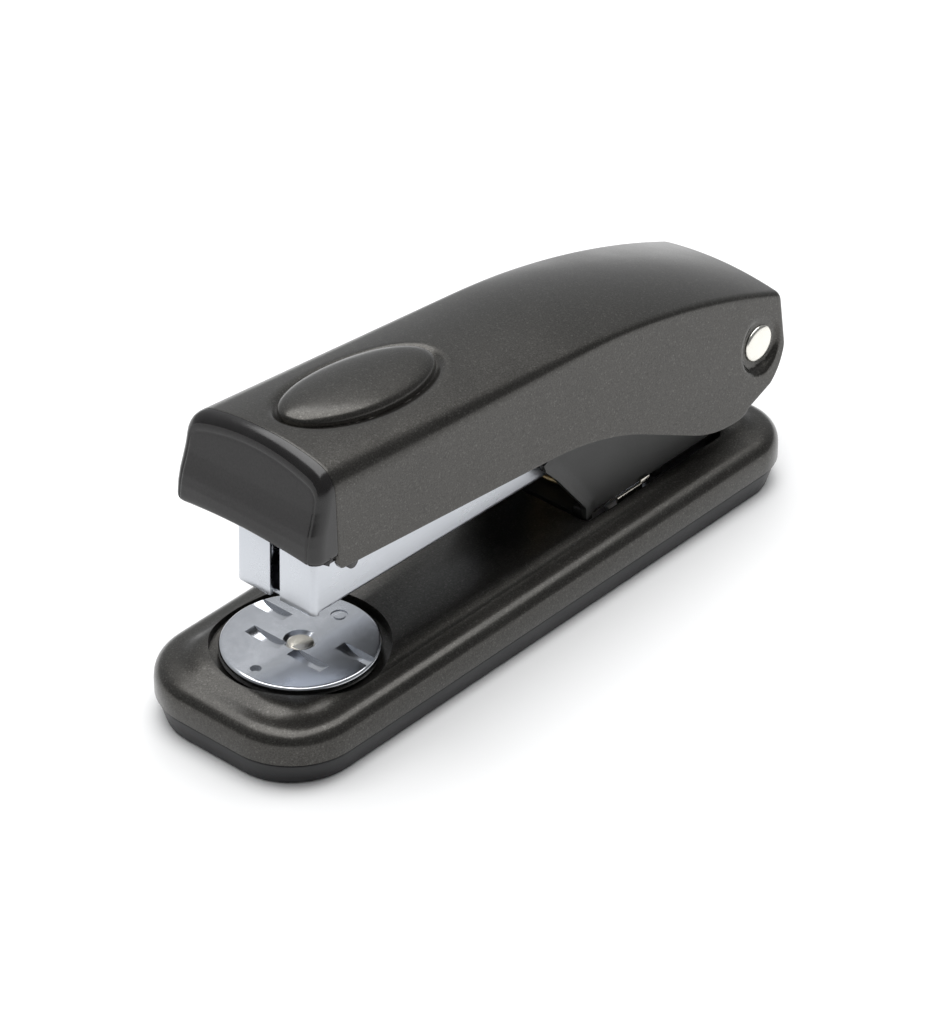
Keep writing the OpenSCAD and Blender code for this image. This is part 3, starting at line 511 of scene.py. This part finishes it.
arm = {"lean": math.atan(cover["noseLean"]), "nub": 1.05, "x": -38.2, "low": 30.4, "y": 11.35}
for s in (-1, 1):
    bm = slab([(-42.8, 32.3), (-37.0, 32.3), (-37.0, 39), (-43.4, 39), (-43.4, 34.2)], -0.5, 0.5, 0.1)
    nub = [(arm["x"] + arm["nub"] * math.cos(t), arm["low"] + arm["nub"] * math.sin(t))
           for t in [math.pi * (1 + k / 12) for k in range(13)]]
    join(bm, slab(nub + [(arm["x"] + arm["nub"], 34.4), (arm["x"] - arm["nub"], 34.4)], -0.5, 0.5, 0.12))
    bmesh.ops.rotate(bm, cent=(0, 0, 45.5), matrix=Matrix.Rotation(s * arm["lean"], 3, "X"), verts=bm.verts)
    bmesh.ops.translate(bm, vec=(0, s * arm["y"], 0), verts=bm.verts)
    finish("capArm" + ("Left" if s < 0 else "Right"), bm, "cover", [darkGloss])
print("nose cap made")

# the base shell: profile is (inward, z) from its edge to its top
base = {"front": -54.5, "rear": 54.5, "half": 16.5, "low": 4.1, "frontCorner": 10.7, "rearCorner": 9.0,
        "profile": [(0, 6.0), (0.08, 6.9), (0.32, 7.6), (0.75, 8.18), (1.3, 8.6), (1.95, 8.88), (2.7, 9.06),
                    (3.5, 9.24), (4.2, 9.47), (4.85, 9.76), (5.5, 10.02), (6.2, 10.19), (7.0, 10.27),
                    (7.9, 10.3)],
        "wellX": -36.0, "well": 12.7, "wellFloor": 8.4, "recess": ((11.9, -10.9, 8.0), (42.9, 10.9, 12)),
        "roundRecess": 1.6}


def planBlock(inset, low, high, segments=14, flare=0.0):
    # a block with the base's plan: a box with its four upright edges rounded, and its foot drawn in
    bm = bmesh.new()
    bmesh.ops.create_cube(bm, size=1)
    size = Vector((base["rear"] - base["front"] - 2 * inset, 2 * (base["half"] - inset), high - low))
    bmesh.ops.scale(bm, vec=size, verts=bm.verts)
    bmesh.ops.translate(bm, vec=(0, 0, (low + high) / 2), verts=bm.verts)
    for side, corner in ((-1, base["frontCorner"]), (1, base["rearCorner"])):
        upright = [edge for edge in bm.edges if all(v.co.x * side > size.x / 2 - 0.01 for v in edge.verts)
                   and abs(edge.verts[0].co.z - edge.verts[1].co.z) > 0.1]
        bmesh.ops.bevel(bm, geom=upright, offset=corner - inset, segments=segments, profile=0.5,
                        affect="EDGES", material=-1)
    foot = [v for v in bm.verts if v.co.z < low + 0.01]
    bmesh.ops.scale(bm, vec=(1 - 2 * flare / size.x, 1 - 2 * flare / size.y, 1), verts=foot)
    return bm


def topFace(bm):
    return max(bm.faces, key=lambda face: face.calc_center_median().z)


def cutter(bm):
    # a shape to be cut out of a piece, which is removed again afterwards
    bmesh.ops.recalc_face_normals(bm, faces=bm.faces)
    bmesh.ops.scale(bm, vec=(mm, mm, mm), verts=bm.verts)
    mesh = bpy.data.meshes.new("cutter")
    bm.to_mesh(mesh)
    bm.free()
    tool = bpy.data.objects.new("cutter", mesh)
    scene.collection.objects.link(tool)
    return tool


def rod(radius, low, high, x=0.0, y=0.0, sides=96, tip=None):
    # an upright round bar, or a cone where tip is given
    bm = bmesh.new()
    bmesh.ops.create_cone(bm, cap_ends=True, segments=sides, radius1=radius,
                          radius2=radius if tip is None else tip, depth=high - low)
    bmesh.ops.translate(bm, vec=(x, y, (low + high) / 2), verts=bm.verts)
    return bm


def cuts(*tools):
    return [("BOOLEAN", {"operation": "DIFFERENCE", "solver": "EXACT", "object": tool}) for tool in tools]


def dropTools(*tools):
    for tool in tools:
        bpy.data.objects.remove(tool)


bm = planBlock(0, base["low"], base["profile"][0][1])
steps = [alongCurve([(*p, 0) for p in base["profile"]], i / 34) for i in range(35)]
for here, after in zip(steps, steps[1:]):
    bmesh.ops.inset_region(bm, faces=[topFace(bm)], thickness=max(0.001, after[0] - here[0]),
                           depth=after[1] - here[1], use_even_offset=True)
low, high = (Vector(corner) for corner in base["recess"])
hollow = bmesh.new()
bmesh.ops.create_cube(hollow, size=1)
bmesh.ops.scale(hollow, vec=high - low, verts=hollow.verts)
bmesh.ops.translate(hollow, vec=(low + high) / 2, verts=hollow.verts)
upright = [edge for edge in hollow.edges if abs(edge.verts[0].co.z - edge.verts[1].co.z) > 1]
bmesh.ops.bevel(hollow, geom=upright, offset=base["roundRecess"], segments=6, profile=0.5, affect="EDGES",
                material=-1)
tools = [cutter(rod(base["well"], base["wellFloor"], 13, base["wellX"], sides=128)), cutter(hollow)]
finish("baseShellSkin", bm, "base", [paint], ["base_shell"],
       cuts(*tools) + [("BEVEL", {"width": 0.35 * mm, "segments": 3, "limit_method": "ANGLE",
                                  "angle_limit": math.radians(60)})], sharp=45)
dropTools(*tools)
print("base made")

# the plastic sole under the shell
sole = {"top": 3.75, "gap": 0.35, "drawIn": 0.9, "round": 0.45}
bm = planBlock(sole["gap"], 0.0, sole["top"], flare=sole["drawIn"])
rims = [edge for edge in bm.edges if abs(edge.verts[0].co.z - edge.verts[1].co.z) < 0.01]
bmesh.ops.bevel(bm, geom=rims, offset=sole["round"], segments=3, profile=0.5, affect="EDGES", material=-1)
join(bm, planBlock(1.3, 3.6, 4.4))
tools = [cutter(rod(6.15, -1, 3, base["wellX"], sides=64))]
finish("soleTray", bm, "base", [soleGrain], ["base_sole"], cuts(*tools))
dropTools(*tools)

# the anvil with its rivet and its button
anvil = {"x": -36.0, "radius": 11.3, "low": 8.8, "top": 10.4, "edge": 0.55, "pocketWide": 2.0,
         "pocketLong": 6.2, "pocketDeep": 0.6, "pockets": [(-2.7, 4.0), (2.7, 8.0)], "pegHole": -8.9,
         "ring": 7.9}
r, top, edge = anvil["radius"], anvil["top"], anvil["edge"]
rim = [(r - edge + edge * math.sin(t), top - edge + edge * math.cos(t))
       for t in [k * math.pi / 24 for k in range(13)]]
bm = lathe([(0, top), (r * 0.5, top)] + rim + [(r, 9.1), (r - 0.3, anvil["low"]), (0, anvil["low"])], 144)
bmesh.ops.translate(bm, vec=(anvil["x"], 0, 0), verts=bm.verts)
deep, half = anvil["pocketDeep"], anvil["pocketLong"] / 2
scoop = (half * half + deep * deep) / (2 * deep)
tools = []
for dx, dy in anvil["pockets"]:
    for s in (-1, 1):
        pocket = rod(scoop, -anvil["pocketWide"] / 2, anvil["pocketWide"] / 2, sides=192)
        bmesh.ops.rotate(pocket, cent=(0, 0, 0), matrix=Matrix.Rotation(math.pi / 2, 3, "Y"),
                         verts=pocket.verts)
        bmesh.ops.translate(pocket, vec=(anvil["x"] + dx, s * dy, top + scoop - deep), verts=pocket.verts)
        tools.append(cutter(pocket))
tools.append(cutter(rod(1.3, top - 0.7, top + 0.05, anvil["x"], sides=64, tip=2.5)))
tools.append(cutter(rod(0.8, top - 0.5, top + 1, anvil["x"] + anvil["pegHole"], sides=40)))
ring = lathe([(0.85, top - 0.15), (1.25, top - 0.15), (1.25, top + 1), (0.85, top + 1),
              (0.85, top - 0.15)], 48)
bmesh.ops.translate(ring, vec=(anvil["x"] + anvil["ring"], 0, 0), verts=ring.verts)
tools.append(cutter(ring))
finish("anvilPlate", bm, "anvil", [chrome], ["anvil"],
       cuts(*tools), sharp=12)
dropTools(*tools)

bm = lathe([(0, top - 0.06), (0.7, top - 0.07), (1.3, top - 0.12), (1.65, top - 0.2), (1.82, top - 0.32),
            (1.85, top - 0.5), (1.2, top - 0.7), (1.2, 2.0), (2.0, 2.0), (2.0, 1.85), (1.9, 1.75),
            (0, 1.72)], 64)
bmesh.ops.translate(bm, vec=(anvil["x"], 0, 0), verts=bm.verts)
finish("anvilRivetHead", bm, "anvil", [nickel], ["anvil_rivet"])

bm = lathe([(0, 2.2), (1.9, 2.2), (2.3, 1.9), (2.5, 1.55), (5.5, 1.4), (5.85, 1.5), (6.0, 1.8), (6.0, 4.1),
            (5.8, 4.4), (2.9, 4.4), (2.9, 8.6), (1.25, 8.7)], 72)
bmesh.ops.translate(bm, vec=(anvil["x"], 0, 0), verts=bm.verts)
finish("anvilButtonCap", bm, "anvil_lifter", [soleGrain], ["anvil_button"])
print("anvil made")

# the hinge housing: front is (z, x) of its front edge
housing = {"out": 9.8, "low": 10.4, "high": 24.3, "rear": 40.4, "rearHigh": 17.0, "bulge": 4.6,
           "flare": 0.7, "flareRun": 3.2,
           "front": [(10.4, 12.3), (12.4, 12.2), (13.9, 11.0), (15.5, 9.7), (17.9, 7.8), (20.3, 5.9),
                     (22.9, 3.4), (24.5, 2.8)]}


def housingPoint(u, w):
    v = (w + 1) / 2
    frontZ = housing["low"] + v * (housing["high"] - housing["low"])
    frontX = readTable(housing["front"], frontZ)
    rearZ = housing["low"] + v * (housing["rearHigh"] - housing["low"])
    t = u ** 1.6
    x = frontX + t * (housing["rear"] - frontX)
    z = frontZ + t * (rearZ - frontZ) + housing["bulge"] * math.sin(math.pi * t) * v * v
    near = 1 - softStep(0, housing["flareRun"], x - frontX)
    return x, housing["out"] + housing["flare"] * near, z


for s in (-1, 1):
    bm = sheetGrid(60, 30, housingPoint)
    if s < 0:
        bmesh.ops.scale(bm, vec=(1, -1, 1), verts=bm.verts)
    finish("housingSide" + ("Left" if s < 0 else "Right"), bm, "base", [housingGrain], [],
           [("SOLIDIFY", {"thickness": 0.9 * mm, "offset": -1}),
            ("BEVEL", {"width": 0.25 * mm, "segments": 3, "limit_method": "ANGLE",
                       "angle_limit": math.radians(50)})])
bm = block((13.1, -7.8, 9.0), (40.4, 7.8, 9.9), 0.2)
join(bm, block((28.6, -9.7, 9.0), (30.1, 9.7, 11.0), 0.25))
for s in (-1, 1):
    join(bm, block((13.1, min(s * 7.2, s * 9.7), 9.0), (14.6, max(s * 7.2, s * 9.7), 11.0), 0.25))
join(bm, rod(5.1, 9.5, 10.9, 22.0, sides=64))
finish("housingFloor", bm, "base", [housingGrain], ["hinge_housing"])

bm = coil(5.8, 0.45, 8.34, 5)
bmesh.ops.translate(bm, vec=(22.0, 0, 9.92), verts=bm.verts)
finish("returnCoil", bm, "base", [brassWire], ["return_spring"])

head = [(0, 0.5), (1.2, 0.49), (2.1, 0.44), (2.6, 0.34), (2.83, 0.2), (2.9, 0.02), (2.86, -0.05)]
for s, name, stoodFor in ((-1, "pinHeadNear", "pivot_pin"), (1, "pinHeadFar", "pin_cap")):
    bm = lathe(head + [(2.0, -0.05), (2.0, -22.0 if s < 0 else -0.3), (0, -22.0 if s < 0 else -0.3)], 72,
               axis=(0, s, 0), center=(hinge["x"], s * (hinge["padY"] + 0.05), hinge["z"]))
    finish(name, bm, "base", [paleNickel], [stoodFor])
for s in (-1, 1):  # the bright catch that holds the housing's foot down
    y = s * 10.1
    bm = block((19.4, y - 0.22, 9.3), (25.0, y + 0.22, 10.35), 0.12)
    join(bm, block((24.6, y - 0.22, 9.9), (26.6, y + 0.22, 10.9), 0.18))
    finish("footCatch" + ("Left" if s < 0 else "Right"), bm, "base", [nickel])
print("hinge made")

# the magazine, drawn in its own frame, which starts at the pin
mag = {"pin": Vector((49.0, 0, 23.1)), "tilt": math.radians(1.4), "front": -89.7, "half": 7.3, "low": -5.3,
       "high": 4.7, "sheet": 0.7, "fold": 1.0, "slot": 0.9, "tail": -4.0, "ear": 4.2}


def onMagazine(bm):
    # moves a mesh drawn in the magazine's own frame, which starts at the pin, to its place
    turn = Matrix.Translation(mag["pin"]) @ Matrix.Rotation(mag["tilt"], 4, "Y")
    bmesh.ops.transform(bm, matrix=turn, verts=bm.verts)
    return bm


def strip(path, rise):
    # a sheet that follows a path of points and is as wide as rise
    bm = bmesh.new()
    verts = [bm.verts.new(p) for p in path]
    edges = [bm.edges.new(pair) for pair in zip(verts, verts[1:])]
    grown = bmesh.ops.extrude_edge_only(bm, edges=edges)["geom"]
    bmesh.ops.translate(bm, vec=rise, verts=newVerts(grown))
    return bm


turns = [k * math.pi / 12 for k in range(7)]
fold, half, front = mag["fold"], mag["half"], mag["front"]
bm = None
for s in (-1, 1):
    corner = [(front + fold - fold * math.sin(t), s * (half - fold + fold * math.cos(t)), mag["low"] + fold)
              for t in turns]
    path = [(mag["tail"], s * half, mag["low"] + fold), *corner,
            (front, s * mag["slot"], mag["low"] + fold)]
    part = strip(path, (0, 0, mag["high"] - mag["low"] - fold))
    join(part, strip(path[1:], (0, 0, -fold)))
    bm = part if bm is None else join(bm, part)
floor = [(mag["tail"], s * (half - fold + fold * math.cos(t)), mag["low"] + fold - fold * math.sin(t))
         for s, run in ((-1, turns), (1, turns[::-1])) for t in run]
join(bm, strip(floor, (front + fold - mag["tail"], 0, 0)))
bmesh.ops.remove_doubles(bm, verts=bm.verts, dist=0.001)
for s in (-1, 1):
    ear = [(mag["ear"] * math.cos(t), mag["ear"] * math.sin(t)) for t in
           [math.radians(-110 + 215 * k / 24) for k in range(25)]]
    join(bm, slab([(-9, -4.3)] + ear + [(-9, 1.2)], s * (half - 0.04) - (0.62 if s > 0 else 0),
                  s * (half - 0.04) + (0.62 if s < 0 else 0), 0))
onMagazine(bm)
finish("magazineChannel", bm, "magazine", [brightSheet], ["magazine"],
       [("SOLIDIFY", {"thickness": mag["sheet"] * mm, "offset": -1, "use_even_offset": True}),
        ("BEVEL", {"width": 0.12 * mm, "segments": 2, "limit_method": "ANGLE",
                   "angle_limit": math.radians(50)})], sharp=35)

staple = {"front": -87.85, "pitch": 0.51, "count": 50, "wide": 12.9, "low": -4.4, "high": 1.9, "wire": 0.7}
h, low, high, t = staple["wide"] / 2, staple["low"], staple["high"], staple["wire"]
bow = 0.6
shape = [(-h, low), (-h, high - bow), (-h + 0.18, high - 0.18), (-h + bow, high), (h - bow, high),
         (h - 0.18, high - 0.18), (h, high - bow), (h, low), (h - t, low), (h - t, high - t),
         (-h + t, high - t), (-h + t, low)]
bm = bmesh.new()
one = bm.faces.new([bm.verts.new((0.02, y, z)) for y, z in shape])
grown = bmesh.ops.extrude_face_region(bm, geom=[one])["geom"]
bmesh.ops.translate(bm, vec=(staple["pitch"] - 0.06, 0, 0), verts=newVerts(grown))
bmesh.ops.recalc_face_normals(bm, faces=bm.faces)
first = bm.verts[:] + bm.edges[:] + bm.faces[:]
for k in range(1, staple["count"]):
    copied = bmesh.ops.duplicate(bm, geom=first)["geom"]
    bmesh.ops.translate(bm, vec=(k * staple["pitch"], 0, 0), verts=newVerts(copied))
bmesh.ops.translate(bm, vec=(staple["front"], 0, 0), verts=bm.verts)
finish("stapleRow", onMagazine(bm), "magazine", [stapleWire], ["staple_strip"])

bm = coil(1.65, 0.2, 32.1, 16, 24, 8)
bmesh.ops.rotate(bm, cent=(0, 0, 0), matrix=Matrix.Rotation(math.pi / 2, 3, "Y"), verts=bm.verts)
bmesh.ops.translate(bm, vec=(-57.2, 0, -2.05), verts=bm.verts)
finish("pusherCoil", onMagazine(bm), "magazine", [steelWire], ["pusher_spring"])

low, high = (Vector(corner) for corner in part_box("lift_spring"))
bm = coil(3.0, 0.35, (high.z - low.z) / mm - 1.0, 6)
bmesh.ops.translate(bm, vec=(-16.5, 0, mag["high"] + 0.82), verts=bm.verts)
finish("liftCoil", onMagazine(bm), "magazine", [steelWire], ["lift_spring"])
print("magazine made")

# finishes of the pieces kept from the frame
kept = {"anvil_spring": steelWire, "hinge_bracket": zincSheet, "bracket_rivets": nickel,
        "hinge_spacers": zincSheet, "magazine_core": brightSheet, "core_rivets": nickel,
        "pusher": darkSheet, "spring_rod": steelWire,
        "rod_anchor": zincSheet, "spring_bridge": zincSheet, "driver": zincSheet, "driver_rivets": nickel}
for name, material in kept.items():
    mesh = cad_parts[name].data
    mesh.materials.clear()
    mesh.materials.append(material)

# floor, light and world
studio = {"floor": 3.0, "key": 8.6, "world": 0.56, "dim": 0.20, "bright": (0.35, 0.70, 0.62),
          "boxAt": (0.10, 0.10, 0.70), "boxSize": (0.98, 0.86)}
bm = bmesh.new()
bmesh.ops.create_grid(bm, x_segments=1, y_segments=1, size=studio["floor"])
floorMesh = bpy.data.meshes.new("floor")
bm.to_mesh(floorMesh)
bm.free()
floor = bpy.data.objects.new("floor", floorMesh)
scene.collection.objects.link(floor)
f = Finish("paleFloor", Roughness=0.9)
f.feed(Base_Color=f.ramp(f.noise(400, 2), [(0.3, (0.90, 0.90, 0.90)), (0.7, (0.93, 0.93, 0.93))]))
floorMesh.materials.append(f.material)


def softbox(name, at, toward, size, power):
    lamp = bpy.data.lights.new(name, "AREA")
    lamp.shape = "RECTANGLE"
    lamp.size, lamp.size_y = size
    lamp.energy = power
    placed = bpy.data.objects.new(name, lamp)
    placed.location = at
    placed.rotation_euler = (Vector(at) - Vector(toward)).to_track_quat("Z", "Y").to_euler()
    scene.collection.objects.link(placed)


softbox("keyLight", studio["boxAt"], (0.10, 0.10, 0), studio["boxSize"], studio["key"])
world = bpy.data.worlds.new("studio")
scene.world = world
world.use_nodes = True
tree = world.node_tree
heading = node(tree, "VectorMath", {"operation": "DOT_PRODUCT"},
               {0: node(tree, "TexCoord"), 1: studio["bright"]}, 1)  # bright behind the object, dim in front
sky = node(tree, "MapRange", None, {"Value": heading, "From Min": 0.2, "From Max": 1.0,
                                    "To Min": studio["dim"], "To Max": studio["world"]})
tree.links.new(sky.socket, tree.nodes["Background"].inputs["Strength"])
tree.nodes["Background"].inputs["Color"].default_value = (0.96, 0.98, 1, 1)
print("studio ready")
